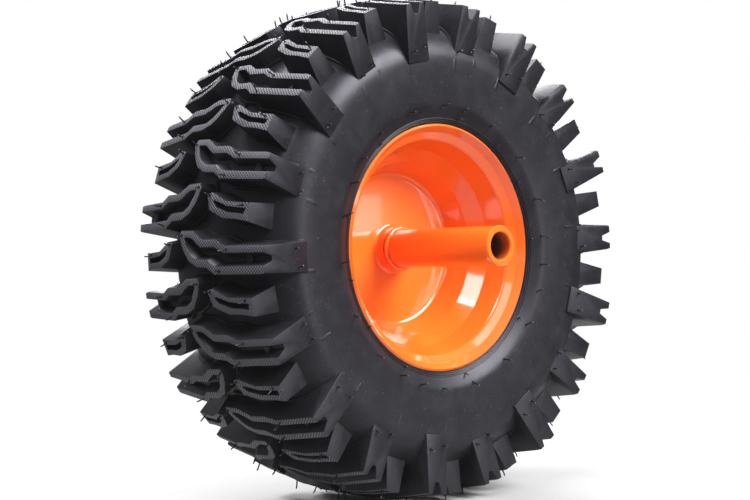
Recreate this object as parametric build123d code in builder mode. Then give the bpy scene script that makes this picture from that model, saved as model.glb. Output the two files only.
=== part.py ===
"""Snow blower wheel: chevron-lug tyre on two welded steel dishes with a long hub tube.

Origin at the wheel's centre, axle along Y, the tube's long end toward -Y, +Z up, millimetres.
Profiles are drawn as (depth, radius): depth is measured from the middle plane toward -Y.
"""
import os
from math import asin, atan2, cos, degrees, hypot, radians, sin, tan

from build123d import *

os.makedirs("parts", exist_ok=True)

# Hub tube
HUB_OD = 28.0
HUB_BORE = 19.05
HUB_LONG_END = 111.7
HUB_SHORT_END = 22.0
HUB_CHAMFER = 0.8

# Pressed rim halves, each path point a depth and a radius on the dish's open face
SHEET = 2.0
COLLAR_HEIGHT = 8.0
COLLAR_FIT = 0.2
COLLAR_BEND = 2.5
DISC_RADIUS = 55.4
DISC_BEND = 4.0
WALL_BEND = 4.0
SEAT_BEND = 5.0
LIP_BEND = 2.0
WELL_DEPTH = 19.1
WELL_RADIUS = 63.0
STEP_DEPTH = 30.8
STEP_RADIUS = 70.9
SEAT_DEPTH = 45.6
SEAT_RADIUS = 76.9
LIP_DEPTH = 50.2
LIP_RADIUS = 82.2
RIM_DEPTH = 55.5
RIM_RADIUS = 86.1
HALVES_FIT = 0.02

# Weld rings
WELD_LEG = 3.0
WELD_PROUD = 0.4
WELD_FIT = 0.03
SEAM_ROOT = 1.5
SEAM_HEIGHT = 3.2

# Tyre carcass
CARCASS_DEPTH = 62.5
WIDEST_RADIUS = 131.0
SHOULDER_ARC = 28.0
SHOULDER_SWEEP = 62.0
SIDEWALL_ARC = 220.0
FLANK_RADIUS = 99.5
BEAD_RADIUS = 88.0
BEAD_DEPTH = 54.2
BEAD_FIT = 0.2
WALL = 5.0
TOE_DEPTH = 31.5
TOE_RADIUS = 79.0

# Tread: both sides carry long and short lugs by turns, the sides half a pitch apart
LUG_PAIRS = 9
LUG_HEIGHT = 12.8
LUG_DRAFT = 4.0
TREAD_FLAT = 23.0
TREAD_SLOPE = 0.18
END_TILT = 7.9
FOOT_RADIUS = 131.5

# Long forked lugs, every other one reaching farther down the shoulder
DEEP_TIP = 69.5
SHALLOW_TIP = 65.8
FORK_HALF = 9.3
FORK_LEG = 5.0
JOG_RISE = 4.7
JOG_RUN = 7.6
JOG_TRAIL = 36.4
JOG_LEAD = 26.8
CURL_TRAIL = 15.2
CURL_LEAD = 9.0
NOSE_RISE = 20.5
NOSE_START = 3.5
NOSE_REACH = 9.8
NOSE_CORNER = 1.8
NOSE_CORNER_DROP = 3.6
WAIST_REACH = 7.0
WAIST_RISE = 9.5
FORK_DEPTH = 8.0
TIE_DEPTH = 50.5
TIE_WIDTH = 4.0
TIE_HEIGHT = 3.5

# Short looped lugs
SHORT_TIP = 56.1
LOOP_HALF = 6.1
LOOP_WALL = 3.6
LOOP_BEND = 35.5
LOOP_SWELL = 7.2
LOOP_NECK = 3.6
LOOP_START = 18.2
LOOP_START_RISE = 12.2
LOOP_TOP = 23.0
LOOP_TOP_RISE = 13.2
LOOP_WAIST = 22.4
LOOP_WAIST_RISE = 1.7
LOOP_DEPTH = 6.0

# Valve through the outer rim half, its sizes along the stem from the rim's open face
VALVE_HOLE = 11.5
STEM_FIT = 0.1
BOND_FIT = 0.03
STEM_FLANGE = 15.6
STEM_FLANGE_HEIGHT = 2.4
STEM_TOP = 9.0
STEM_LENGTH = 16.0
BULB_DIAMETER = 15.0
BULB_LENGTH = 8.5
BULB_END = 11.0
INSERT_OD = 7.7
INSERT_BORE = 5.4
INSERT_EXPOSED = 10.0
INSERT_RECESS = 1.5
CORE_LENGTH = 13.0
CORE_RECESS = 0.6
CORE_FIT = 0.1
CORE_BORE = 2.4
GASKET_HEIGHT = 1.6
GASKET_RADIAL = 0.6
PIN_DIAMETER = 1.4
PIN_HEAD = 2.0
PIN_HEAD_HEIGHT = 1.0
PIN_PLUG = 4.2
PIN_PLUG_HEIGHT = 1.8
PIN_FIT = 0.08
PIN_PROUD = 0.2
CAP_WALL = 1.2
CAP_FIT = 0.12
CAP_GAP = 0.4
CAP_CHAMFER = 0.6
SEAL_HEIGHT = 1.0

# Worked out from the sizes above
HUB_RADIUS = HUB_OD / 2
COLLAR_RADIUS = HUB_RADIUS + COLLAR_FIT + SHEET
SHOULDER_DEPTH = CARCASS_DEPTH - SHOULDER_ARC * (1 - cos(radians(SHOULDER_SWEEP)))
CROWN_ARC = SHOULDER_DEPTH / cos(radians(SHOULDER_SWEEP))
SHOULDER_TOP = WIDEST_RADIUS + SHOULDER_ARC * sin(radians(SHOULDER_SWEEP))
CROWN_RADIUS = SHOULDER_TOP + CROWN_ARC * (1 - sin(radians(SHOULDER_SWEEP)))
TREAD_RADIUS = CROWN_RADIUS + LUG_HEIGHT
SIDEWALL_SWEEP = degrees(asin((WIDEST_RADIUS - FLANK_RADIUS) / SIDEWALL_ARC))
PITCH = 180 / LUG_PAIRS
NOSE_ANGLE = degrees(atan2(NOSE_RISE, TREAD_RADIUS))

# Sketch planes: a radial section, and a plan laid on the tread at the top of the wheel
SECTION = Plane((0, 0, 0), x_dir=(0, -1, 0), z_dir=(-1, 0, 0))
TREAD_PLAN = Plane((0, 0, TREAD_RADIUS), x_dir=(0, -1, 0), z_dir=(0, 0, 1))

DISH_PATH = [
    (SHEET + HALVES_FIT / 2 + COLLAR_HEIGHT, COLLAR_RADIUS),
    (SHEET + HALVES_FIT / 2, COLLAR_RADIUS),
    (SHEET + HALVES_FIT / 2, DISC_RADIUS),
    (WELL_DEPTH, WELL_RADIUS),
    (STEP_DEPTH, STEP_RADIUS),
    (SEAT_DEPTH, SEAT_RADIUS),
    (LIP_DEPTH, LIP_RADIUS),
    (RIM_DEPTH, RIM_RADIUS),
]
DISH_BENDS = [COLLAR_BEND, DISC_BEND, WALL_BEND, WALL_BEND, SEAT_BEND, LIP_BEND]


def lug_top(depth):
    """Radius of the lug tops: flat across the middle, then falling toward the shoulder."""
    return TREAD_RADIUS - TREAD_SLOPE * max(0.0, depth - TREAD_FLAT)


def fork_outline(end):
    """Plan of a long lug as (depth, forward): jogged legs that curl into a nose over the middle."""
    return [
        (end, FORK_HALF),
        (JOG_TRAIL, FORK_HALF),
        (JOG_TRAIL - JOG_RUN, FORK_HALF + JOG_RISE),
        (CURL_TRAIL, FORK_HALF + JOG_RISE),
        (NOSE_START, NOSE_RISE),
        (NOSE_CORNER - NOSE_REACH, NOSE_RISE),
        (-NOSE_REACH, NOSE_RISE - NOSE_CORNER_DROP),
        (-WAIST_REACH, WAIST_RISE),
        (0, 0),
        (CURL_LEAD, JOG_RISE - FORK_HALF),
        (JOG_LEAD - JOG_RUN, JOG_RISE - FORK_HALF),
        (JOG_LEAD, -FORK_HALF),
        (end, -FORK_HALF),
    ]


def loop_outline(end):
    """Plan of a short lug: a straight block that curls up at its inner end."""
    return [
        (end, LOOP_HALF),
        (LOOP_BEND, LOOP_SWELL),
        (LOOP_TOP, LOOP_TOP_RISE),
        (LOOP_START, LOOP_START_RISE),
        (LOOP_WAIST, LOOP_WAIST_RISE),
        (LOOP_BEND, -LOOP_NECK),
        (end, -LOOP_HALF),
    ]


def lug_side(tip):
    """Side view of a lug: crowned top, tilted end face and square foot, sunk into the carcass."""
    fall = tan(radians(END_TILT))
    return [
        (-2 * NOSE_REACH, TREAD_RADIUS),
        (TREAD_FLAT, TREAD_RADIUS),
        (tip, lug_top(tip)),
        (tip - fall * (lug_top(tip) - FOOT_RADIUS), FOOT_RADIUS),
        (TREAD_FLAT, FOOT_RADIUS),
        (-2 * NOSE_REACH, CROWN_RADIUS - WALL),
    ]


def slot_side(depth_of_slot, tie):
    """Side view of the pocket in a lug, with or without the low tie between the legs."""
    beyond = DEEP_TIP + WALL
    floor = [(-2 * NOSE_REACH, TREAD_RADIUS - depth_of_slot), (TREAD_FLAT, TREAD_RADIUS - depth_of_slot)]
    if tie:
        for depth, rise in ((0, 0), (0, TIE_HEIGHT), (TIE_WIDTH, TIE_HEIGHT), (TIE_WIDTH, 0)):
            place = TIE_DEPTH + depth
            floor.append((place, lug_top(place) - depth_of_slot + rise))
    floor.append((beyond, lug_top(beyond) - depth_of_slot))
    return floor + [(beyond, TREAD_RADIUS), (-2 * NOSE_REACH, TREAD_RADIUS)]


def lug(outline, tip, wall, depth_of_slot, open_end):
    """One lug at the top of the wheel, standing on the -Y side."""
    beyond = DEEP_TIP + 2 * WALL
    with BuildPart() as pocket:
        with BuildSketch(TREAD_PLAN):
            with BuildLine():
                Polyline(*outline(beyond if open_end else tip), close=True)
            make_face()
            offset(amount=-wall, kind=Kind.INTERSECTION, mode=Mode.REPLACE)
        extrude(amount=-2 * depth_of_slot - WALL)
        with BuildSketch(SECTION):
            with BuildLine():
                Polyline(*slot_side(depth_of_slot, open_end), close=True)
            make_face()
        revolve(axis=Axis.Y, mode=Mode.INTERSECT)
    with BuildPart() as block:
        with BuildSketch(TREAD_PLAN):
            with BuildLine():
                Polyline(*outline(beyond), close=True)
            make_face()
        extrude(amount=FOOT_RADIUS - TREAD_RADIUS - WALL)
        draft(block.faces().filter_by(Axis.Z, reverse=True), TREAD_PLAN, LUG_DRAFT)
        with BuildSketch(SECTION):
            with BuildLine():
                Polyline(*lug_side(tip), close=True)
            make_face()
        revolve(axis=Axis.Y, mode=Mode.INTERSECT)
        add(pocket.part, mode=Mode.SUBTRACT)
    return block.part


def turns(start, step):
    """Places round the axle, as turns from the top of the wheel."""
    return [Location((0, 0, 0), (0, start + step * turn, 0)) for turn in range(round(360 / step))]


deep_lug = lug(fork_outline, DEEP_TIP, FORK_LEG, FORK_DEPTH, True)
shallow_lug = lug(fork_outline, SHALLOW_TIP, FORK_LEG, FORK_DEPTH, True)
short_lug = lug(loop_outline, SHORT_TIP, LOOP_WALL, LOOP_DEPTH, False)

# Lowest noses of the two sides stand either side of the bottom, so the wheel rests on both
near_start = 180 - PITCH / 4 - NOSE_ANGLE
far_start = near_start + PITCH / 2

with BuildPart() as tyre:
    with BuildSketch(SECTION):
        with BuildLine():
            shoulder = JernArc((CARCASS_DEPTH, WIDEST_RADIUS), (0, 1), SHOULDER_ARC, SHOULDER_SWEEP)
            crown = JernArc(shoulder @ 1, shoulder % 1, CROWN_ARC, 90 - SHOULDER_SWEEP)
            sidewall = JernArc((CARCASS_DEPTH, WIDEST_RADIUS), (0, -1), SIDEWALL_ARC, -SIDEWALL_SWEEP)
            flank = Line(sidewall @ 1, (BEAD_DEPTH, BEAD_RADIUS))
            Polyline(crown @ 1, (0, STEP_RADIUS), (BEAD_DEPTH, STEP_RADIUS), flank @ 1)
        make_face()
        mirror(about=Plane.YZ)
    revolve(axis=Axis.Y)
    with Locations(turns(near_start, 2 * PITCH)):
        add(shallow_lug)
    with Locations(turns(near_start + PITCH, 2 * PITCH)):
        add(deep_lug)
    with Locations(turns(near_start + PITCH / 2, PITCH)):
        add(short_lug)
    with Locations(turns(far_start, 2 * PITCH)):
        add(mirror(shallow_lug, about=Plane.XZ, mode=Mode.PRIVATE))
    with Locations(turns(far_start + PITCH, 2 * PITCH)):
        add(mirror(deep_lug, about=Plane.XZ, mode=Mode.PRIVATE))
    with Locations(turns(far_start + PITCH / 2, PITCH)):
        add(mirror(short_lug, about=Plane.XZ, mode=Mode.PRIVATE))
    # Air space inside, then the beads cut to the rim they sit on
    with BuildSketch(SECTION):
        inner_arc = SHOULDER_ARC - WALL
        centre = CARCASS_DEPTH - SHOULDER_ARC
        with BuildLine():
            Polyline(
                (0, CROWN_RADIUS - WALL),
                (
                    centre + inner_arc * cos(radians(SHOULDER_SWEEP)),
                    WIDEST_RADIUS + inner_arc * sin(radians(SHOULDER_SWEEP)),
                ),
                (CARCASS_DEPTH - WALL, WIDEST_RADIUS),
                ((sidewall @ 1).X - WALL, FLANK_RADIUS),
                (TOE_DEPTH, TOE_RADIUS),
                (TOE_DEPTH, STEP_RADIUS - SHEET),
                (0, STEP_RADIUS - SHEET),
                close=True,
            )
        make_face()
        mirror(about=Plane.YZ)
    revolve(axis=Axis.Y, mode=Mode.SUBTRACT)
    with BuildSketch(SECTION):
        with BuildLine():
            dish = Polyline(*DISH_PATH[2:])
            Polyline(dish @ 1, (RIM_DEPTH, DISC_RADIUS), dish @ 0)
        make_face()
        offset(amount=SHEET + BEAD_FIT, mode=Mode.REPLACE)
        mirror(about=Plane.YZ)
    revolve(axis=Axis.Y, mode=Mode.SUBTRACT)
tyre.part.label = "tyre"
export_step(tyre.part, "parts/tyre.step")

with BuildPart() as inner_rim_half:
    with BuildSketch(SECTION):
        with BuildLine():
            FilletPolyline(*DISH_PATH, radius=DISH_BENDS)
            offset(amount=SHEET, side=Side.LEFT)
        make_face()
    revolve(axis=Axis.Y)
inner_rim_half.part.label = "inner_rim_half"
export_step(inner_rim_half.part, "parts/inner_rim_half.step")

# The valve stands square to the wall between the well and the bead step, at the wheel's lowest point
wall_run = hypot(STEP_DEPTH - WELL_DEPTH, STEP_RADIUS - WELL_RADIUS)
valve_away = (0, (STEP_RADIUS - WELL_RADIUS) / wall_run, (STEP_DEPTH - WELL_DEPTH) / wall_run)
valve_foot = (0, (WELL_DEPTH + STEP_DEPTH) / 2, -(WELL_RADIUS + STEP_RADIUS) / 2)
VALVE = Plane(valve_foot, x_dir=(1, 0, 0), z_dir=valve_away)
VALVE_SECTION = Plane(valve_foot, x_dir=(1, 0, 0), z_dir=VALVE.y_dir * -1)
VALVE_AXIS = Axis(valve_foot, valve_away)

with BuildPart() as outer_rim_half:
    mirror(inner_rim_half.part, about=Plane.XZ)
    with BuildSketch(VALVE):
        Circle(VALVE_HOLE / 2)
    extrude(amount=2 * SHEET, both=True, mode=Mode.SUBTRACT)
outer_rim_half.part.label = "outer_rim_half"
export_step(outer_rim_half.part, "parts/outer_rim_half.step")

with BuildPart() as hub_tube:
    with BuildSketch(SECTION):
        with Locations(((HUB_LONG_END - HUB_SHORT_END) / 2, (HUB_RADIUS + HUB_BORE / 2) / 2)):
            Rectangle(HUB_LONG_END + HUB_SHORT_END, HUB_RADIUS - HUB_BORE / 2)
        chamfer(vertices(), HUB_CHAMFER)
    revolve(axis=Axis.Y)
hub_tube.part.label = "hub_tube"
export_step(hub_tube.part, "parts/hub_tube.step")

with BuildPart() as inner_hub_weld:
    weld_start = DISH_PATH[0][0] + WELD_FIT
    weld_root = HUB_RADIUS + WELD_FIT
    swell = WELD_LEG / 2 + WELD_PROUD
    with BuildSketch(SECTION):
        with BuildLine():
            legs = Polyline(
                (weld_start, weld_root + WELD_LEG),
                (weld_start, weld_root),
                (weld_start + WELD_LEG, weld_root),
            )
            ThreePointArc(legs @ 0, (weld_start + swell, weld_root + swell), legs @ 1)
        make_face()
    revolve(axis=Axis.Y)
inner_hub_weld.part.label = "inner_hub_weld"
export_step(inner_hub_weld.part, "parts/inner_hub_weld.step")

with BuildPart() as outer_hub_weld:
    mirror(inner_hub_weld.part, about=Plane.XZ)
outer_hub_weld.part.label = "outer_hub_weld"
export_step(outer_hub_weld.part, "parts/outer_hub_weld.step")

# The seam weld fills the groove between the two outer bends, on the tyre's side
bend_turn = atan2(WELL_DEPTH - DISH_PATH[2][0], WELL_RADIUS - DISC_RADIUS)
bend_radius = DISC_RADIUS - DISC_BEND * tan(bend_turn / 2)
bend_depth = DISH_PATH[2][0] + DISC_BEND

with BuildPart() as rim_seam_weld:
    with BuildSketch(SECTION):
        with Locations((0, bend_radius + SEAM_ROOT + SEAM_HEIGHT / 2)):
            Rectangle(2 * bend_depth, SEAM_HEIGHT)
        with Locations((bend_depth, bend_radius), (-bend_depth, bend_radius)):
            Circle(DISC_BEND + SHEET + WELD_FIT, mode=Mode.SUBTRACT)
    revolve(axis=Axis.Y)
rim_seam_weld.part.label = "rim_seam_weld"
export_step(rim_seam_weld.part, "parts/rim_seam_weld.step")

# Heights along the stem
wall_curve = (WELL_RADIUS + STEP_RADIUS) / 2 / valve_away[2]
seat = (STEM_FLANGE / 2) ** 2 / (2 * wall_curve) + STEM_FIT
bulb_end = -SHEET - STEM_FIT - BULB_LENGTH
insert_top = STEM_LENGTH + INSERT_EXPOSED
core_top = insert_top - CORE_RECESS
core_bottom = core_top - CORE_LENGTH
core_radius = INSERT_BORE / 2 - CORE_FIT
cap_inside = INSERT_OD / 2 + CAP_FIT
cap_ceiling = insert_top + SEAL_HEIGHT + 2 * CAP_FIT

with BuildPart() as valve_stem:
    with BuildSketch(VALVE_SECTION):
        with BuildLine():
            Polyline(
                (INSERT_OD / 2 + BOND_FIT, bulb_end),
                (BULB_END / 2, bulb_end),
                (BULB_DIAMETER / 2, -SHEET - STEM_FIT),
                (VALVE_HOLE / 2 - STEM_FIT, -SHEET - STEM_FIT),
                (VALVE_HOLE / 2 - STEM_FIT, seat),
                (STEM_FLANGE / 2, seat),
                (STEM_FLANGE / 2, seat + STEM_FLANGE_HEIGHT),
                (VALVE_HOLE / 2, seat + 2 * STEM_FLANGE_HEIGHT),
                (STEM_TOP / 2, STEM_LENGTH),
                (INSERT_OD / 2 + BOND_FIT, STEM_LENGTH),
                close=True,
            )
        make_face()
    revolve(axis=VALVE_AXIS)
valve_stem.part.label = "valve_stem"
export_step(valve_stem.part, "parts/valve_stem.step")

with BuildPart() as valve_insert:
    with BuildSketch(VALVE.offset(bulb_end + INSERT_RECESS)):
        Circle(INSERT_OD / 2)
        Circle(INSERT_BORE / 2, mode=Mode.SUBTRACT)
    extrude(amount=insert_top - bulb_end - INSERT_RECESS)
valve_insert.part.label = "valve_insert"
export_step(valve_insert.part, "parts/valve_insert.step")

with BuildPart() as valve_core:
    groove = core_bottom + CORE_LENGTH / 2
    with BuildSketch(VALVE_SECTION):
        with BuildLine():
            Polyline(
                (CORE_BORE / 2, core_bottom),
                (core_radius, core_bottom),
                (core_radius, groove),
                (core_radius - GASKET_RADIAL, groove),
                (core_radius - GASKET_RADIAL, groove + GASKET_HEIGHT),
                (core_radius, groove + GASKET_HEIGHT),
                (core_radius, core_top),
                (CORE_BORE / 2, core_top),
                close=True,
            )
        make_face()
    revolve(axis=VALVE_AXIS)
valve_core.part.label = "valve_core"
export_step(valve_core.part, "parts/valve_core.step")

with BuildPart() as valve_core_gasket:
    with BuildSketch(VALVE.offset(groove + BOND_FIT)):
        Circle(INSERT_BORE / 2 - BOND_FIT)
        Circle(core_radius - GASKET_RADIAL + BOND_FIT, mode=Mode.SUBTRACT)
    extrude(amount=GASKET_HEIGHT - 2 * BOND_FIT)
valve_core_gasket.part.label = "valve_core_gasket"
export_step(valve_core_gasket.part, "parts/valve_core_gasket.step")

with BuildPart() as valve_pin:
    pin_top = core_top + PIN_PROUD
    plug_top = core_bottom - PIN_FIT
    with BuildSketch(VALVE_SECTION):
        with BuildLine():
            Polyline(
                (0, plug_top - PIN_PLUG_HEIGHT),
                (PIN_PLUG / 2, plug_top - PIN_PLUG_HEIGHT),
                (PIN_PLUG / 2, plug_top),
                (PIN_DIAMETER / 2, plug_top),
                (PIN_DIAMETER / 2, pin_top - PIN_HEAD_HEIGHT),
                (PIN_HEAD / 2, pin_top - PIN_HEAD_HEIGHT),
                (PIN_HEAD / 2, pin_top),
                (0, pin_top),
                close=True,
            )
        make_face()
    revolve(axis=VALVE_AXIS)
valve_pin.part.label = "valve_pin"
export_step(valve_pin.part, "parts/valve_pin.step")

with BuildPart() as valve_cap:
    with BuildSketch(VALVE.offset(STEM_LENGTH + CAP_GAP)):
        Circle(cap_inside + CAP_WALL)
    extrude(amount=cap_ceiling + CAP_WALL - STEM_LENGTH - CAP_GAP)
    chamfer(valve_cap.faces().sort_by(VALVE_AXIS)[-1].edges(), CAP_CHAMFER)
    with BuildSketch(VALVE.offset(STEM_LENGTH + CAP_GAP)):
        Circle(cap_inside)
    extrude(amount=cap_ceiling - STEM_LENGTH - CAP_GAP, mode=Mode.SUBTRACT)
valve_cap.part.label = "valve_cap"
export_step(valve_cap.part, "parts/valve_cap.step")

with BuildPart() as valve_cap_seal:
    with BuildSketch(VALVE.offset(insert_top + CAP_FIT)):
        Circle(cap_inside - BOND_FIT)
        Circle(CORE_BORE / 2, mode=Mode.SUBTRACT)
    extrude(amount=SEAL_HEIGHT)
valve_cap_seal.part.label = "valve_cap_seal"
export_step(valve_cap_seal.part, "parts/valve_cap_seal.step")
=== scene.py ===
"""Looks of the snow blower wheel: paint, rubber, tread detail, studio and camera. Metres."""
from math import asin, atan2, cos, pi, radians, sin

import bpy
from mathutils import Matrix, Vector


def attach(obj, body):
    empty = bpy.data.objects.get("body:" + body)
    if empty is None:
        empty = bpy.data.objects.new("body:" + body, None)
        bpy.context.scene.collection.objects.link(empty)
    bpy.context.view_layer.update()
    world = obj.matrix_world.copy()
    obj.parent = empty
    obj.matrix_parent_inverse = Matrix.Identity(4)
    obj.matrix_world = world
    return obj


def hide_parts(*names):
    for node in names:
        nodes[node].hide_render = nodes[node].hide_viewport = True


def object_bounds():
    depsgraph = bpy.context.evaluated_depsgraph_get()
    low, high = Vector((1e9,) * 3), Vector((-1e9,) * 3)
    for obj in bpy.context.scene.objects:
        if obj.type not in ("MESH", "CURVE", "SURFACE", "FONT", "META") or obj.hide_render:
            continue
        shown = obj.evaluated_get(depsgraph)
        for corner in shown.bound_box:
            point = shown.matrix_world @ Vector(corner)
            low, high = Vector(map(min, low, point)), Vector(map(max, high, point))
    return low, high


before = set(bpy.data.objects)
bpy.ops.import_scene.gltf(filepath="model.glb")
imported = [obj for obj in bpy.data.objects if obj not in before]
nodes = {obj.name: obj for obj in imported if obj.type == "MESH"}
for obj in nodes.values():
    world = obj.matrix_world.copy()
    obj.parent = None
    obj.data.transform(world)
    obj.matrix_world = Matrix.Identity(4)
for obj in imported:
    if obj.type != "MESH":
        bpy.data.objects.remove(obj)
cad_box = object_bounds()

MM = 0.001

# Camera and floor
PHOTO_LENS = 73.08
SENSOR = 36.0
CAMERA_PLACE = (-0.7585, -0.8238, 0.0005)
CAMERA_FORWARD = Vector((0.67001, 0.74235, -0.0009))
CAMERA_UP = Vector((0.02164, -0.01833, 0.99960))
LENS_HAZE = 0.0045
FLOOR_SIZE = 1.3
FLOOR_FADE = (0.2 * FLOOR_SIZE / 2, 0.95 * FLOOR_SIZE / 2)
WHEEL_FOOT = cad_box[0][2]

# Lights: name, place, size, watts and the line that the long side follows, level where None
LIGHTS = [
    ("key_box", (0.75, -1.5, 1.3), (1.3, 1.0), 105, None),
    ("top_box", (-0.45, 0.4, 2.0), (2.6, 0.8), 104, None),
    ("low_box", (0.72, -1.90, 0.02), (0.7, 0.9), 10, None),
    ("back_box", (1.2, 1.6, 1.0), (1.2, 1.0), 62, None),
    ("disc_card", (1.295, -1.50, 0.06), (0.09, 0.10), 0.13, None),
    ("step_card", (-0.90, -0.55, 1.06), (0.85, 0.12), 3.8, (0.53, 0.14, 0.53)),
    ("lip_card", (-0.20, -1.42, 1.38), (1.9, 0.15), 4.0, (0.75, 0.32, 0.44)),
]

# Tyre carcass, as depths from the middle plane and radii from the axle
CARCASS_DEPTH = 62.5 * MM
WIDEST_RADIUS = 131.0 * MM
SHOULDER_ARC = 28.0 * MM
SHOULDER_SWEEP = radians(62.0)
SIDEWALL_ARC = 220.0 * MM
FLANK_RADIUS = 99.5 * MM
FLANK_EDGE = 2.4 * MM
FLANK_DEPTH = 59.8 * MM
BEAD_RADIUS = 88.3 * MM
BEAD_DEPTH = 54.3 * MM
CROWN_STEPS = 8
SHOULDER_STEPS = 10
SIDEWALL_STEPS = 8
FLANK_STEPS = (0.25, 0.5, 0.75, 1.0)
SPIN_STEPS = 180

# Ridges on the flange ring, each as steps back and up in shares of its pitch and height
RIDGE = 0.45 * MM
RIDGE_PITCH = 1.35 * MM
RIDGES = 3
RIDGE_SHAPE = [(0.5, 0), (0.3, 1), (0.0, 1), (-0.2, 0)]

# Bead behind the flange, then the air space, in millimetres
BEAD_LINE = [(52.6, 86.8), (48.7, 83.9), (44.3, 78.8), (32.5, 74.0), (31.5, 75.0), (31.5, 79.0),
             (55.2, 99.5), (57.5, 131.0), (45.3, 151.3), (0, 162.6)]

# Lugs
LUG_PITCHES = 18
NOSE_RISE = 20.5 * MM
LUG_HEIGHT = 12.8 * MM
TREAD_FLAT = 23.0 * MM
TREAD_SLOPE = 0.18
END_TILT = radians(7.9)
FOOT_RADIUS = 131.5 * MM
LUG_SINK = 52.0 * MM
LOOP_SINK = 30.0 * MM
LUG_FLARE = 3.6 * MM
LUG_EDGE = 0.5 * MM
DEEP_TIP = 69.5 * MM
SHALLOW_TIP = 65.8 * MM
SHORT_TIP = 56.1 * MM
FORK_DEPTH = 8.0 * MM
LOOP_DEPTH = 6.0 * MM
POCKET_SLOPE = 0.3
END_CHAMFER = 0.7 * MM
FOOT_CHAMFER = 2.2 * MM
CHAMFER_RUN = 10.0 * MM
KNURL_PITCH = 2.4 * MM
KNURL_BAND = 1.5 * MM

# Low tie between a long lug's legs
TIE_DEPTH = 52.5 * MM
TIE_FORWARD = 0.4 * MM
TIE_LENGTH = 10.0 * MM
TIE_WIDTH = 4.0 * MM
TIE_DROP = 4.5 * MM

# Low step round a long lug's foot
PLINTH_HEIGHT = 2.2 * MM
PLINTH_STEP = 2.0 * MM
PLINTH_TUCK = 1.0 * MM
PLINTH_SINK = 4 * PLINTH_HEIGHT
PLINTH_FLARE = 0.8 * MM
PLINTH_EDGE = 0.35 * MM
PLINTH_SETBACK = 3.0 * MM
PLINTH_PIECE = 5.0 * MM

# Plan of the lugs as (depth, forward) in millimetres, outer line and pocket line side by side
FORK_OUTER = [(78, 9.4), (36.4, 9.8), (28.4, 13.9), (15.2, 14.1), (4.6, 20.0), (-8, 20.5),
              (-9.8, 16.7), (-7, 9.5), (-0.5, 0.5), (9, -3.8), (19.6, -4.3), (26.8, -8.8),
              (78, -9.3)]
FORK_POCKET = [(78, 4.6), (36.0, 5.0), (27.5, 8.9), (13.2, 9.2), (3.0, 15.5), (-3.2, 16.0),
               (-4.4, 15.0), (-2.4, 11.6), (1.6, 5.4), (7.5, 1.6), (20.6, 0.9), (26.6, -3.4),
               (78, -3.9)]
LOOP_OUTER = [(57, 6.1), (36, 7.3), (23, 13.4), (18, 12.2), (22.0, 1.7), (34.5, -3.6),
              (46, -4.2), (57, -6.1)]
LOOP_POCKET = [(53.2, 2.7), (37, 4.2), (26.4, 8.0), (24.2, 7.8), (27.8, 3.6), (37.5, 0.1),
               (46, -0.4), (52.2, -1.2)]

# Moulding whiskers: the shaft's steps are shares of its length, up and sideways
HAIR_LENGTH = 5.0 * MM
HAIR_RADIUS = 0.5 * MM
HAIR_BOSS = 1.15 * MM
HAIR_BOSS_RISE = 0.12 * MM
HAIR_SINK = 0.5 * MM
HAIR_SIDES = 6
HAIR_STEPS = [(0.5, 0.0), (0.3, 0.03), (0.2, 0.05)]
HAIR_TAPER = 0.8
# Where the whisker's tip with its painted highlight begins
HAIR_GLINT_FROM = 0.85 * HAIR_LENGTH

# Whiskers on the lug tops: place in plan, length and lean, in millimetres
SHALLOW_HAIRS = [((39.5, 7.4), 5.6, 0.9), ((30.5, -6.4), 4.8, -1.1), ((-7.6, 16.6), 4.2, 0.8)]
DEEP_HAIRS = [((38.0, 7.2), 5.9, -0.9), ((31.5, -6.6), 5.2, 0.9), ((-7.2, 17.4), 3.8, -1.0)]
SHORT_HAIRS = [((21.0, 11.4), 4.6, 0.9), ((50.0, 4.6), 5.4, -0.8)]
FORK_SIDE_LEAN = -0.5
LOOP_SIDE_LEAN = 0.4

# Whiskers on a long lug's end face: forward, drop from the top, length and lean, in millimetres
END_HAIRS = [(-6.4, 33.0, 4.4, 0.8), (6.2, 30.0, 3.8, -0.6)]
END_HAIR_RISE = 0.8

# Rings of whiskers on a sidewall: radius, depth, count and length in millimetres
HAIR_RINGS = [(FLANK_RADIUS, FLANK_DEPTH, 22, 9.0), (BEAD_RADIUS + 3.4 * MM, BEAD_DEPTH, 11, 7.0)]
RING_LEAN = (2.6, 1.4)
RING_UNEVEN = 0.15
RING_STRAY = 0.3

# Weld beads round the hub tube
HUB_RADIUS = 14.0 * MM
WELD_PLACE = 12.0 * MM
WELD_SIZE = 1.6 * MM
WELD_LUMPS = 1.5 * MM
WELD_GRAIN = 1.1 * WELD_SIZE
WELD_STEPS = (200, 14)

# Paint line inside the tube's long end; deeper in, the bore's colour is painted shade
BORE_RADII = (9.7 * MM, 10.1 * MM)
BORE_MOUTH = (-110.5 * MM, -100.0 * MM)

# Mesh work
MERGE_GAP = 0.01 * MM
EDGE_ANGLE = radians(28)
SMOOTH_ANGLE = radians(32)
MITRE_LIMIT = 0.4
TOP_FACING = 0.9
FOOT_FACING = -0.7
WALL_FACING = 0.1

shoulder_depth = CARCASS_DEPTH - SHOULDER_ARC * (1 - cos(SHOULDER_SWEEP))
crown_arc = shoulder_depth / cos(SHOULDER_SWEEP)
shoulder_top = WIDEST_RADIUS + SHOULDER_ARC * sin(SHOULDER_SWEEP)
crown_radius = shoulder_top + crown_arc * (1 - sin(SHOULDER_SWEEP))
tread_radius = crown_radius + LUG_HEIGHT
pitch = 2 * pi / LUG_PITCHES


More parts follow.
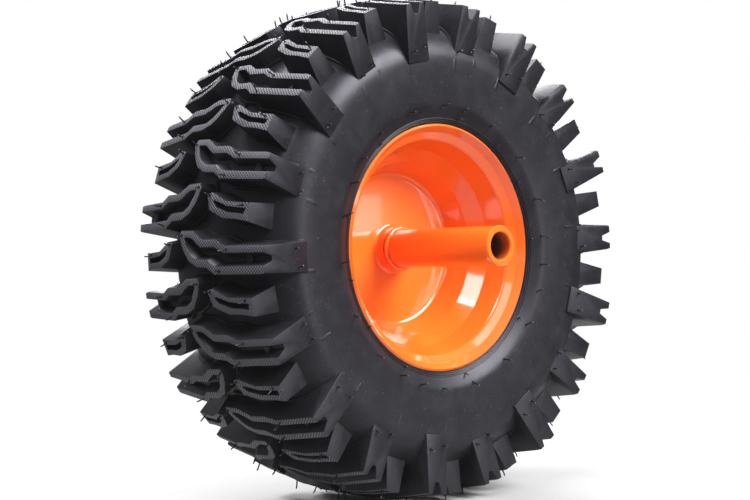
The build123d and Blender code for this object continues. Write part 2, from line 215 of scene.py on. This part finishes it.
class Field:
    """A value that varies over a surface, with arithmetic that adds Math nodes."""

    def __init__(self, finish, socket):
        self.finish = finish
        self.socket = socket

    def math(self, operation, *terms):
        return self.finish.node("ShaderNodeMath", {"operation": operation}, *terms)

    def __add__(self, other):
        return self.math("ADD", self, other)

    def __radd__(self, other):
        return self.math("ADD", other, self)

    def __sub__(self, other):
        return self.math("SUBTRACT", self, other)

    def __rsub__(self, other):
        return self.math("SUBTRACT", other, self)

    def __mul__(self, other):
        return self.math("MULTIPLY", self, other)

    def __rmul__(self, other):
        return self.math("MULTIPLY", other, self)

    def __pow__(self, other):
        return self.math("POWER", self, other)


class Finish:
    """One material, or the studio's air: its shader and the nodes that feed it."""

    def __init__(self, material, shader="Principled BSDF", **constants):
        self.material = material
        self.material.use_nodes = True
        self.tree = self.material.node_tree
        self.shader = self.tree.nodes[shader]
        for socket, constant in constants.items():
            self.shader.inputs[socket.replace("_", " ")].default_value = constant

    def node(self, kind, settings=None, *values, out=0, **sockets):
        """Adds a node, sets it up, feeds its sockets by place or name and returns one output."""
        made = self.tree.nodes.new(kind)
        for name, setting in (settings or {}).items():
            setattr(made, name, setting)
        for place, value in [*enumerate(values), *sockets.items()]:
            if value is not None:
                self.feed(made.inputs[place], value)
        return Field(self, made.outputs[out])

    def feed(self, socket, value):
        if isinstance(value, Field):
            self.tree.links.new(value.socket, socket)
        else:
            socket.default_value = value

    def place(self, kind="Object"):
        """Coordinates of the kind asked for, as three fields and as the vector itself."""
        spot = self.node("ShaderNodeTexCoord", out=kind)
        split = self.node("ShaderNodeSeparateXYZ", None, spot).socket.node
        return [Field(self, axis) for axis in split.outputs], spot

    def noise(self, spot, scale, detail=3.0, roughness=0.55):
        return self.node("ShaderNodeTexNoise", None, Vector=spot, Scale=scale, Detail=detail,
                         Roughness=roughness)

    def ramp(self, field, low, high):
        """Runs from 0 to 1 as the field goes from low to high."""
        return self.node("ShaderNodeMapRange", {"clamp": True}, field, low, high, 0.0, 1.0)

    def mix(self, share, first, second):
        """Blends two colours; the node's number and vector sockets, 1 to 5, stay as they are."""
        return self.node("ShaderNodeMix", {"data_type": "RGBA"}, share, *[None] * 5, first, second,
                         out=2)

    def bump(self, height, distance, strength):
        relief = self.node("ShaderNodeBump", None, Strength=strength, Distance=distance,
                           Height=height)
        self.feed(self.shader.inputs["Normal"], relief)

    def give(self, **fields):
        for socket, field in fields.items():
            self.feed(self.shader.inputs[socket.replace("_", " ")], field)

    def wear(self, *objects):
        for item in objects:
            item.data.materials.clear()
            item.data.materials.append(self.material)


def orange_paint():
    """Glossy orange enamel with a faint orange-peel skin, thinning to oily steel in the bore, whose
    dark brown-red is painted shade deepening into the tube.
    """
    deep, bright = (0.79, 0.126, 0.0120, 1), (0.83, 0.148, 0.0145, 1)
    # Bore colour: bare steel, darkened to brown-red as painted shade inside the tube
    oily_steel_and_shade = (0.085, 0.030, 0.018, 1)
    finish = Finish(bpy.data.materials.new("orange_paint"), IOR=1.5, Coat_Roughness=0.03,
                    Coat_Weight=0.5)
    (across, along, up), spot = finish.place()
    peel = finish.noise(spot, scale=700.0, detail=2.0)
    cloud = finish.noise(spot, scale=22.0)
    off_axle = (across * across + up * up) ** 0.5
    # Mask for the bore past its mouth, where the colour darkens as painted shade
    bore = (1 - finish.ramp(off_axle, *BORE_RADII)) * finish.ramp(along, *BORE_MOUTH)
    enamel = finish.mix(cloud, deep, bright)
    finish.give(
        Base_Color=finish.mix(bore, enamel, oily_steel_and_shade),
        Roughness=0.09 + 0.05 * cloud + 0.4 * bore,
    )
    finish.bump(peel, distance=0.03 * MM, strength=0.2)
    return finish


def tyre_rubber():
    """Satin black rubber with a fine moulded grain, a dusty bloom and a few pale specks."""
    deep, worn = (0.0074, 0.0070, 0.0088, 1), (0.0110, 0.0104, 0.0130, 1)
    dust, pale = (0.0170, 0.0162, 0.0195, 1), (0.07, 0.07, 0.078, 1)
    finish = Finish(bpy.data.materials.new("tyre_rubber"), IOR=1.31,
                    Specular_Tint=(0.91, 0.885, 1.0, 1))
    spot = finish.place()[1]
    grain = finish.noise(spot, scale=420.0, detail=4.0)
    cloud = finish.noise(spot, scale=14.0)
    speck = finish.ramp(finish.noise(spot, scale=650.0, detail=1.0), 0.70, 0.76)
    bloom = finish.ramp(finish.noise(spot, scale=48.0, detail=6.0, roughness=0.7), 0.45, 0.75)
    black = finish.mix(cloud, deep, worn)
    dusty = finish.mix(bloom, black, dust)
    finish.give(
        Base_Color=finish.mix(0.5 * speck, dusty, pale),
        Roughness=0.30 + 0.10 * cloud + 0.08 * bloom,
    )
    finish.bump(grain, distance=0.12 * MM, strength=0.4)
    return finish


def knurled_rubber():
    """Lug tops: staggered rows of small pyramids whose tips are painted grey as a painted
    highlight.
    """
    # The grey is a painted highlight for the pyramid tips
    black, grey = (0.009, 0.0085, 0.0105, 1), (0.180, 0.177, 0.210, 1)
    finish = Finish(bpy.data.materials.new("knurled_rubber"), IOR=1.4)
    (across, along, up), spot = finish.place()
    turn = across.math("ARCTAN2", across, up) * (tread_radius / KNURL_PITCH * 2 * pi)
    slide = along * (2 * pi / KNURL_PITCH)
    tips = finish.ramp(turn.math("COSINE", turn) * slide.math("COSINE", slide), -0.35, 0.75)
    cloud = finish.noise(spot, scale=60.0)
    # The grey on the tips is a painted highlight, made uneven by the cloud
    worn = tips * (0.7 + 0.6 * cloud)
    finish.give(
        Base_Color=finish.mix(worn, black, grey),
        Roughness=0.5 + 0.2 * cloud,
    )
    finish.bump(tips, distance=0.4 * MM, strength=0.8)
    return finish


def plain(name, colour, roughness, metallic=0.0):
    """A small piece's finish: one colour with a fine worn grain."""
    finish = Finish(bpy.data.materials.new(name), Metallic=metallic)
    spot = finish.place()[1]
    grain = finish.noise(spot, scale=600.0)
    shade = [channel * 0.75 for channel in colour[:3]] + [1]
    finish.give(
        Base_Color=finish.mix(grain, shade, colour),
        Roughness=roughness - 0.06 + 0.12 * grain,
    )
    finish.bump(grain, distance=0.05 * MM, strength=0.4)
    return finish


class Editing:
    """Edit mode on one piece, with everything in it selected on the way in."""

    def __init__(self, piece):
        self.piece = piece

    def __enter__(self):
        bpy.context.view_layer.objects.active = self.piece
        bpy.ops.object.mode_set(mode="EDIT")
        bpy.ops.mesh.select_all(action="SELECT")

    def __exit__(self, *trouble):
        bpy.ops.object.mode_set(mode="OBJECT")


def extrude(step):
    """Pulls the selected faces out by a step."""
    bpy.ops.mesh.extrude_region_move(TRANSFORM_OT_translate={"value": step})


def start(name, primitive, **settings):
    """Adds a primitive with nothing else selected."""
    bpy.ops.object.select_all(action="DESELECT")
    primitive(**settings)
    bpy.context.object.name = name
    return bpy.context.object


def settle():
    """Puts the new primitive's place, turn and scale into its mesh."""
    bpy.ops.object.transform_apply(location=True, rotation=True, scale=True)


def lay(piece, spots):
    """Moves a new primitive's points to their places, in order."""
    for point, spot in zip(piece.data.vertices, spots, strict=True):
        point.co = spot


def join(pieces):
    bpy.ops.object.select_all(action="DESELECT")
    for piece in pieces:
        piece.select_set(True)
    bpy.context.view_layer.objects.active = pieces[0]
    bpy.ops.object.join()
    return pieces[0]


def copy_of(piece):
    """A copy with its own mesh."""
    copy = piece.copy()
    copy.data = piece.data.copy()
    bpy.context.collection.objects.link(copy)
    return copy


def tidy_normals(piece):
    """Merges doubled points and turns every face outward."""
    with Editing(piece):
        bpy.ops.mesh.remove_doubles(threshold=MERGE_GAP)
        bpy.ops.mesh.normals_make_consistent(inside=False)


def round_edges(piece, width):
    bpy.context.view_layer.objects.active = piece
    rounding = piece.modifiers.new("rounding", "BEVEL")
    rounding.limit_method = "ANGLE"
    rounding.angle_limit = EDGE_ANGLE
    rounding.width = width
    rounding.segments = 2
    bpy.ops.object.modifier_apply(modifier=rounding.name)


def strip(name, *lines):
    """A sheet of quads over lines of the same number of points, laid side by side."""
    band = start(name, bpy.ops.mesh.primitive_grid_add, size=1,
                 x_subdivisions=len(lines[0]) - 1, y_subdivisions=len(lines) - 1)
    lay(band, [spot for line in lines for spot in line])
    return band


def carcass_height(depth):
    """Radius of the carcass at a depth from the middle plane."""
    depth = abs(depth)
    if depth < shoulder_depth:
        return crown_radius - crown_arc + (crown_arc ** 2 - depth ** 2) ** 0.5
    reach = min(depth - CARCASS_DEPTH + SHOULDER_ARC, SHOULDER_ARC)
    return WIDEST_RADIUS + (SHOULDER_ARC ** 2 - reach ** 2) ** 0.5


def on_tread(spot, drop=0.0):
    """A plan point in millimetres, lifted to the lug tops at the top of the wheel."""
    depth, forward = spot[0] * MM, spot[1] * MM
    radius = tread_radius - TREAD_SLOPE * max(0.0, depth - TREAD_FLAT) - drop
    return (forward, -depth, (radius ** 2 - forward ** 2) ** 0.5)


def on_carcass(spot, rise):
    """A plan point in millimetres, lifted to a rise above the carcass at the top of the wheel."""
    depth, forward = spot[0] * MM, spot[1] * MM
    radius = carcass_height(depth) + rise
    return (forward, -depth, (radius ** 2 - forward ** 2) ** 0.5)


def arc(centre, radius, begin, end, steps):
    turns = [begin + (end - begin) * step / steps for step in range(steps + 1)]
    return [(centre[0] + radius * cos(turn), centre[1] + radius * sin(turn)) for turn in turns]


def carcass():
    """The tyre's body: one closed section, turned round the axle."""
    half = arc((0, crown_radius - crown_arc), crown_arc, pi / 2, SHOULDER_SWEEP, CROWN_STEPS)
    half += arc((CARCASS_DEPTH - SHOULDER_ARC, WIDEST_RADIUS), SHOULDER_ARC, SHOULDER_SWEEP, 0,
                SHOULDER_STEPS)[1:]
    edge_sweep = asin((WIDEST_RADIUS - FLANK_RADIUS - FLANK_EDGE) / SIDEWALL_ARC)
    half += arc((CARCASS_DEPTH - SIDEWALL_ARC, WIDEST_RADIUS), SIDEWALL_ARC, 0, -edge_sweep,
                SIDEWALL_STEPS)[1:]
    edge = Vector(half[-1])
    bead = Vector((BEAD_DEPTH, BEAD_RADIUS))
    corner = Vector((edge.x - FLANK_EDGE * sin(edge_sweep), FLANK_RADIUS))
    toe = corner.lerp(bead, 2 * FLANK_EDGE / (bead - corner).length)
    for step in FLANK_STEPS:
        half.append(edge.lerp(corner, step).lerp(corner.lerp(toe, step), step))
    run = (bead - toe).normalized()
    outward = Vector((-run.y, run.x))
    for ridge in range(RIDGES, 0, -1):
        for back, rise in RIDGE_SHAPE:
            half.append(bead - run * RIDGE_PITCH * (ridge - 0.5 + back) + outward * RIDGE * rise)
    half += [(depth * MM, radius * MM) for depth, radius in BEAD_LINE]
    section = [tuple(spot) for spot in half]
    section += [(-depth, radius) for depth, radius in section[-2:0:-1]]
    body = start("moulded_tyre", bpy.ops.mesh.primitive_circle_add, vertices=len(section))
    lay(body, [(0, -depth, radius) for depth, radius in section])
    with Editing(body):
        bpy.ops.mesh.spin(steps=SPIN_STEPS, angle=2 * pi, center=(0, 0, 0), axis=(0, 1, 0))
    tidy_normals(body)
    return body


def mitre(normals, step):
    """The shift of a corner whose sides, by their normals, all move out by a step."""
    mean = sum(normals, Vector((0, 0))).normalized()
    return mean * step / max(MITRE_LIMIT, mean.dot(normals[0]))


def widened(outline, step):
    """A plan line moved outward by a step, corner by corner."""
    moved = []
    for place, spot in enumerate(outline):
        before = Vector(outline[max(place - 1, 0)])
        after = Vector(outline[min(place + 1, len(outline) - 1)])
        here = Vector(spot)
        sides = [side for side in (here - before, after - here) if side.length > 0]
        moved.append(here - mitre([Vector((-side.y, side.x)).normalized() for side in sides], step))
    return moved


def vent_hair():
    """A moulding whisker left by a vent hole: a low boss, a slightly bent shaft and a tip in the
    knurl's grey, a painted highlight.
    """
    hair = start("vent_hair", bpy.ops.mesh.primitive_circle_add, vertices=HAIR_SIDES,
                 radius=HAIR_BOSS, location=(0, 0, -HAIR_SINK), fill_type="NGON")
    settle()
    with Editing(hair):
        extrude((0, 0, HAIR_SINK + HAIR_BOSS_RISE))
        bpy.ops.mesh.inset(thickness=(HAIR_BOSS - HAIR_RADIUS) * cos(pi / HAIR_SIDES))
        for rise, sway in HAIR_STEPS:
            extrude((sway * HAIR_LENGTH, 0, rise * HAIR_LENGTH))
        bpy.ops.transform.resize(value=(HAIR_TAPER,) * 3)
    tidy_normals(hair)
    hair.data.materials.append(rubber.material)
    hair.data.materials.append(knurl.material)
    # Tip faces take the knurl's grey as a painted highlight
    for face in hair.data.polygons:
        face.material_index = 1 if face.center.z > HAIR_GLINT_FROM else 0
    return hair


def plant(root, length, lean, out=(0, 0, 1)):
    """A copy of the whisker on its root, leaning over; length and lean in millimetres."""
    hair = copy_of(whisker)
    aim = (Vector(out) * length + Vector(lean)).normalized()
    stand = Vector((0, 0, 1)).rotation_difference(aim).to_matrix().to_4x4()
    stretch = Matrix.Scale(length * MM / HAIR_LENGTH, 4, (0, 0, 1))
    hair.data.transform(Matrix.Translation(root) @ stand @ stretch)
    return hair


def cut(piece, place, away):
    """Slices off what lies beyond a plane and closes the cut."""
    with Editing(piece):
        bpy.ops.mesh.bisect(plane_co=place, plane_no=away, clear_outer=True, use_fill=True)


def face_end(piece, tip):
    """Cuts the tilted end face of a lug."""
    cut(piece, on_tread((tip / MM, 0)), (0, -cos(END_TILT), -sin(END_TILT)))


def chamfer_end(piece, tip, forward):
    """Cuts a corner of a lug's end face, narrow at the top and wide at the foot."""
    side = 1 if forward > 0 else -1
    top = Vector(on_tread((tip / MM, forward / MM)))
    fall = top.z - FOOT_RADIUS
    lean = fall * sin(END_TILT) / cos(END_TILT)
    foot = top + Vector((side * LUG_FLARE * fall / LUG_SINK, lean, -fall))
    on_face = foot - Vector((side * FOOT_CHAMFER, 0, 0))
    on_wall = foot + Vector((0, CHAMFER_RUN, 0))
    top.x -= side * END_CHAMFER
    away = (on_face - top).cross(on_wall - top).normalized()
    cut(piece, top, away if away.x * side > 0 else -away)


def dress_lug(block):
    """Marks the knurled tops and rounds the edges."""
    block.data.materials.append(rubber.material)
    block.data.materials.append(knurl.material)
    for face in block.data.polygons:
        height = face.center.z - on_tread((-face.center.y / MM, face.center.x / MM))[2]
        on_top = face.normal.z > TOP_FACING and height > -KNURL_BAND
        face.material_index = 1 if on_top else 0
    round_edges(block, LUG_EDGE)


def sink(block, depth, flare):
    """Gives a sheet its drafted walls, down into the carcass."""
    with Editing(block):
        bpy.ops.mesh.remove_doubles(threshold=MERGE_GAP)
        extrude((0, 0, -depth))
        bpy.ops.mesh.select_all(action="SELECT")
        bpy.ops.mesh.normals_make_consistent(inside=False)
    base = block.data
    lowest = {place for face in base.polygons if face.normal.z < FOOT_FACING
              for place in face.vertices}
    walls = {}
    for face in base.polygons:
        if abs(face.normal.z) < WALL_FACING:
            for place in face.vertices:
                walls.setdefault(place, []).append(face.normal.xy.normalized())
    for place in lowest & walls.keys():
        base.vertices[place].co += mitre(walls[place], flare).to_3d()


def plinth(outline, end):
    """The low step round the foot of a lug, following the carcass."""
    fine = []
    for first, second in zip(outline, outline[1:]):
        pieces = max(1, round((Vector(second) - Vector(first)).length * MM / PLINTH_PIECE))
        fine += [Vector(first).lerp(Vector(second), piece / pieces) for piece in range(pieces)]
    fine = [spot for spot in fine + [Vector(outline[-1])] if spot.x * MM < end]
    edges = (widened(fine, step / MM) for step in (PLINTH_STEP, -PLINTH_TUCK))
    band = strip("plinth", *([on_carcass(spot, PLINTH_HEIGHT) for spot in edge] for edge in edges))
    band.data.materials.append(rubber.material)
    sink(band, PLINTH_SINK, PLINTH_FLARE)
    round_edges(band, PLINTH_EDGE)
    return band


def lug_block(name, outer, pocket, depth, closed):
    """Top of a lug as one sheet: outer line, pocket line, sloping pocket and narrow bottom."""
    near = [Vector(spot) for spot in pocket]
    pairs = list(zip(near, near[::-1]))
    bottom = [first.lerp(second, POCKET_SLOPE) for first, second in pairs]
    middle = [first.lerp(second, 0.5) for first, second in pairs]
    places = [*range(len(outer)), 0] if closed else range(len(outer))
    lines = ((outer, 0.0), (pocket, 0.0), (bottom, depth), (middle, depth))
    return strip(name, *([on_tread(line[place], drop) for place in places] for line, drop in lines))


def top_hairs(hairs, side_lean):
    """Whiskers on a lug's top, leaning forward and sideways."""
    return [plant(on_tread(spot), length, (lean, side_lean * lean, 0))
            for spot, length, lean in hairs]


def fork_lug(name, tip, hairs):
    """Long lug: two legs round a pocket that opens at the end, with a low tie between them."""
    block = lug_block(name, FORK_OUTER, FORK_POCKET, FORK_DEPTH, False)
    sink(block, LUG_SINK, LUG_FLARE)
    face_end(block, tip)
    cut(block, (0, 0, FOOT_RADIUS), (0, 0, -1))
    for corner in (FORK_OUTER[0], FORK_OUTER[-1]):
        chamfer_end(block, tip, corner[1] * MM)
    tie_place = on_tread((TIE_DEPTH / MM, TIE_FORWARD / MM), TIE_DROP + FORK_DEPTH / 2)
    tie = start("tie", bpy.ops.mesh.primitive_cube_add, size=1, location=tie_place,
                scale=(TIE_LENGTH, TIE_WIDTH, FORK_DEPTH))
    settle()
    join([block, tie])
    dress_lug(block)
    step = plinth(FORK_OUTER, tip - PLINTH_SETBACK)
    whiskers = top_hairs(hairs, FORK_SIDE_LEAN)
    for forward, drop, length, lean in END_HAIRS:
        height = on_tread((tip / MM, forward), drop * MM)
        root = (height[0], -tip + drop * MM * sin(END_TILT) / cos(END_TILT), height[2])
        whiskers.append(plant(root, length, (lean, 0, END_HAIR_RISE), (0, -1, 0)))
    return join([block, step, *whiskers])


def loop_lug(name, hairs):
    """Short lug: a closed loop round a pocket."""
    block = lug_block(name, LOOP_OUTER, LOOP_POCKET, LOOP_DEPTH, True)
    sink(block, LOOP_SINK, LUG_FLARE)
    face_end(block, SHORT_TIP)
    dress_lug(block)
    return join([block, *top_hairs(hairs, LOOP_SIDE_LEAN)])


def set_round(template, first, step, far):
    """Copies a lug round the wheel, turned over for the far side."""
    copies = []
    for turn in range(round(2 * pi / step)):
        copy = copy_of(template)
        if far:
            copy.data.transform(Matrix.Scale(-1, 4, (0, 1, 0)))
            copy.data.flip_normals()
        copy.data.transform(Matrix.Rotation(first + turn * step, 4, "Y"))
        copies.append(copy)
    return copies


def sidewall_hairs():
    """Whiskers in two rings on each sidewall, spaced and leaning a little unevenly."""
    hairs = []
    for radius, depth, count, length in HAIR_RINGS:
        for place in range(count):
            for side in (-1, 1):
                sway = sin(7.3 * place + 2 * side + radius / MM)
                lean = (RING_LEAN[0] * sway, 0, RING_LEAN[1] * cos(5 * place))
                reach = length * (1 - RING_UNEVEN + RING_UNEVEN * sway)
                hair = plant((0, side * depth, radius), reach, lean, (0, side, 0))
                shift = RING_STRAY * sway + (0.5 if side > 0 else 0)
                hair.data.transform(Matrix.Rotation(2 * pi * (place + shift) / count, 4, "Y"))
                hairs.append(hair)
    return hairs


def tyre():
    """Carcass and lugs as one moulding, its near and far lugs half a pitch apart."""
    nose = atan2(NOSE_RISE, tread_radius)
    near_start = pi - pitch / 4 - nose
    shallow = fork_lug("shallow_lug", SHALLOW_TIP, SHALLOW_HAIRS)
    deep = fork_lug("deep_lug", DEEP_TIP, DEEP_HAIRS)
    short = loop_lug("short_lug", SHORT_HAIRS)
    lugs = []
    for far in (False, True):
        begin = near_start + (pitch / 2 if far else 0)
        lugs += set_round(shallow, begin, 2 * pitch, far)
        lugs += set_round(deep, begin + pitch, 2 * pitch, far)
        lugs += set_round(short, begin + pitch / 2, pitch, far)
    body = carcass()
    body.data.materials.append(rubber.material)
    body.data.materials.append(knurl.material)
    whole = join([body, *lugs, *sidewall_hairs()])
    for template in (shallow, deep, short, whisker):
        bpy.data.objects.remove(template)
    bpy.ops.object.shade_smooth_by_angle(angle=SMOOTH_ANGLE)
    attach(whole, "wheel")
    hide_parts("tyre")


def hub_weld(node, side):
    """A lumpy bead of weld round the hub tube, just off the collar's end."""
    around, section = WELD_STEPS
    bead = start(node + "_bead", bpy.ops.mesh.primitive_torus_add, major_segments=around,
                 minor_segments=section, major_radius=HUB_RADIUS + WELD_SIZE / 2,
                 minor_radius=WELD_SIZE, location=(0, side * WELD_PLACE, 0),
                 rotation=(pi / 2, 0, 0))
    settle()
    ripple = bpy.data.textures.new(node + "_ripple", "CLOUDS")
    ripple.noise_scale = WELD_GRAIN
    lumps = bead.modifiers.new("lumps", "DISPLACE")
    lumps.texture = ripple
    lumps.strength = WELD_LUMPS
    bpy.ops.object.modifier_apply(modifier=lumps.name)
    bpy.ops.object.shade_smooth()
    paint.wear(bead)
    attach(bead, "wheel")
    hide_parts(node)


def floor():
    """Pale paper under the wheel that fades out into the white backdrop."""
    sheet = start("floor", bpy.ops.mesh.primitive_plane_add, size=FLOOR_SIZE,
                  location=(0, 0, WHEEL_FOOT))
    paper = Finish(bpy.data.materials.new("floor_paper"), Roughness=0.9)
    (across, along, _), spot = paper.place()
    fibre = paper.noise(spot, scale=40.0)
    off_wheel = (across * across + along * along) ** 0.5
    paper.give(
        Base_Color=paper.mix(fibre, (0.30, 0.30, 0.30, 1), (0.33, 0.33, 0.33, 1)),
        Alpha=1 - paper.ramp(off_wheel, *FLOOR_FADE),
    )
    paper.wear(sheet)


def studio_air():
    """White backdrop, and for the light a grey room that is brighter above and darker to +X."""
    world = bpy.data.worlds.new("studio_air")
    bpy.context.scene.world = world
    air = Finish(world, "Background")
    backdrop = air.node("ShaderNodeLightPath", out="Is Camera Ray")
    (across, _, up), _ = air.place("Generated")
    dip = across * across * (0.35 + 0.3 * across)
    low, high = (0.06, 0.06, 0.064, 1), (0.60, 0.60, 0.63, 1)
    sky = air.mix(air.ramp(up - dip, -0.35, 0.95), low, high)
    air.give(Color=air.mix(backdrop, sky, (1, 1, 1, 1)))


def put_up(name, thing, place, turn):
    """Adds a light or the camera to the scene, its axes given as the rows of a matrix."""
    holder = bpy.data.objects.new(name, thing)
    bpy.context.collection.objects.link(holder)
    holder.matrix_world = Matrix.Translation(place) @ Matrix(turn).transposed().to_4x4()
    return holder


def soft_box(name, place, size, watts, along):
    """A light aimed at the wheel's middle, its long side level or along a line."""
    lamp = bpy.data.lights.new(name, "AREA")
    lamp.shape = "RECTANGLE"
    lamp.size, lamp.size_y = size
    lamp.energy = watts
    back = Vector(place).normalized()
    side = Vector(along) if along else Vector((0, 0, 1)).cross(back)
    side = (side - side.dot(back) * back).normalized()
    put_up(name, lamp, place, (side, back.cross(side), back))


def photo_camera():
    """The photo's viewpoint, and the slight haze that lifts its blacks."""
    camera = bpy.data.cameras.new("photo_camera")
    camera.lens = PHOTO_LENS
    camera.sensor_width = SENSOR
    right = CAMERA_FORWARD.cross(CAMERA_UP)
    turn = (right, CAMERA_UP, -CAMERA_FORWARD)
    bpy.context.scene.camera = put_up("photo_camera", camera, CAMERA_PLACE, turn)
    view = bpy.context.scene.view_settings
    view.view_transform = "Standard"
    view.use_curve_mapping = True
    view.curve_mapping.black_level = (-LENS_HAZE,) * 3
    view.curve_mapping.update()


rubber = tyre_rubber()
knurl = knurled_rubber()
whisker = vent_hair()
tyre()
paint = orange_paint()
for painted in ("inner_rim_half", "outer_rim_half", "hub_tube", "rim_seam_weld"):
    paint.wear(nodes[painted])
hub_weld("inner_hub_weld", -1)
hub_weld("outer_hub_weld", 1)
plain("valve_rubber", (0.02, 0.02, 0.02, 1), 0.6).wear(
    *(nodes[name] for name in ("valve_stem", "valve_core_gasket", "valve_cap_seal")))
plain("valve_brass", (0.72, 0.53, 0.25, 1), 0.32, 1.0).wear(
    *(nodes[name] for name in ("valve_insert", "valve_core", "valve_pin")))
plain("cap_plastic", (0.015, 0.015, 0.016, 1), 0.45).wear(nodes["valve_cap"])
floor()
studio_air()
for light in LIGHTS:
    soft_box(*light)
photo_camera()
